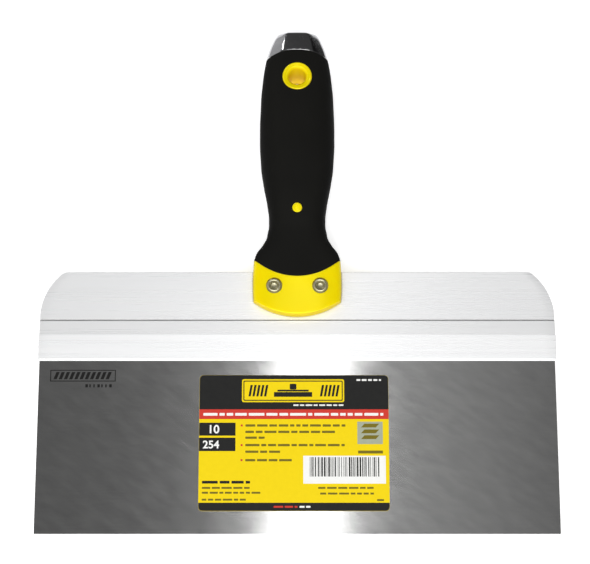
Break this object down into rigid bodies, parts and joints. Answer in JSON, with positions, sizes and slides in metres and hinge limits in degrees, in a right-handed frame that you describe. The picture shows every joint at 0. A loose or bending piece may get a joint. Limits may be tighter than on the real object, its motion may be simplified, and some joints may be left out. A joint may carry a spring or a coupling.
{
  "type": "drywall taping knife",
  "caption": "Wide drywall taping knife: stainless blade in an extruded aluminium spine, two-material handle with a hang hole and a metal hammer cap.",
  "frame": {"origin": "middle of the working edge, on the blade's mid-plane", "axes": "+X along the working edge, to the right seen from the front; +Y from the working edge to the butt; +Z out of the blade's front face, the one with the label"},
  "size_m": [0.2554, 0.2588, 0.026],
  "materials": {
    "blade_steel": "satin, cross-brushed",
    "spine_aluminium": "satin anodised extrusion",
    "label_vinyl": "printed self-adhesive label",
    "core_plastic": "semi-gloss moulded",
    "grip_rubber": "matt soft-touch",
    "tang_steel": "as rolled",
    "cap_chrome": "bright plated",
    "rivet_steel": "zinc plated"
  },
  "bodies": {
    "root": {"blade": "blade_steel", "spine": "spine_aluminium", "label": "label_vinyl", "handle_core": "core_plastic", "grip": "grip_rubber", "tang": "tang_steel", "hammer_cap": "cap_chrome", "cap_pin": "rivet_steel", "rivet_left": "rivet_steel", "rivet_right": "rivet_steel", "washer_left": "rivet_steel", "washer_right": "rivet_steel"}
  },
  "joints": []
}
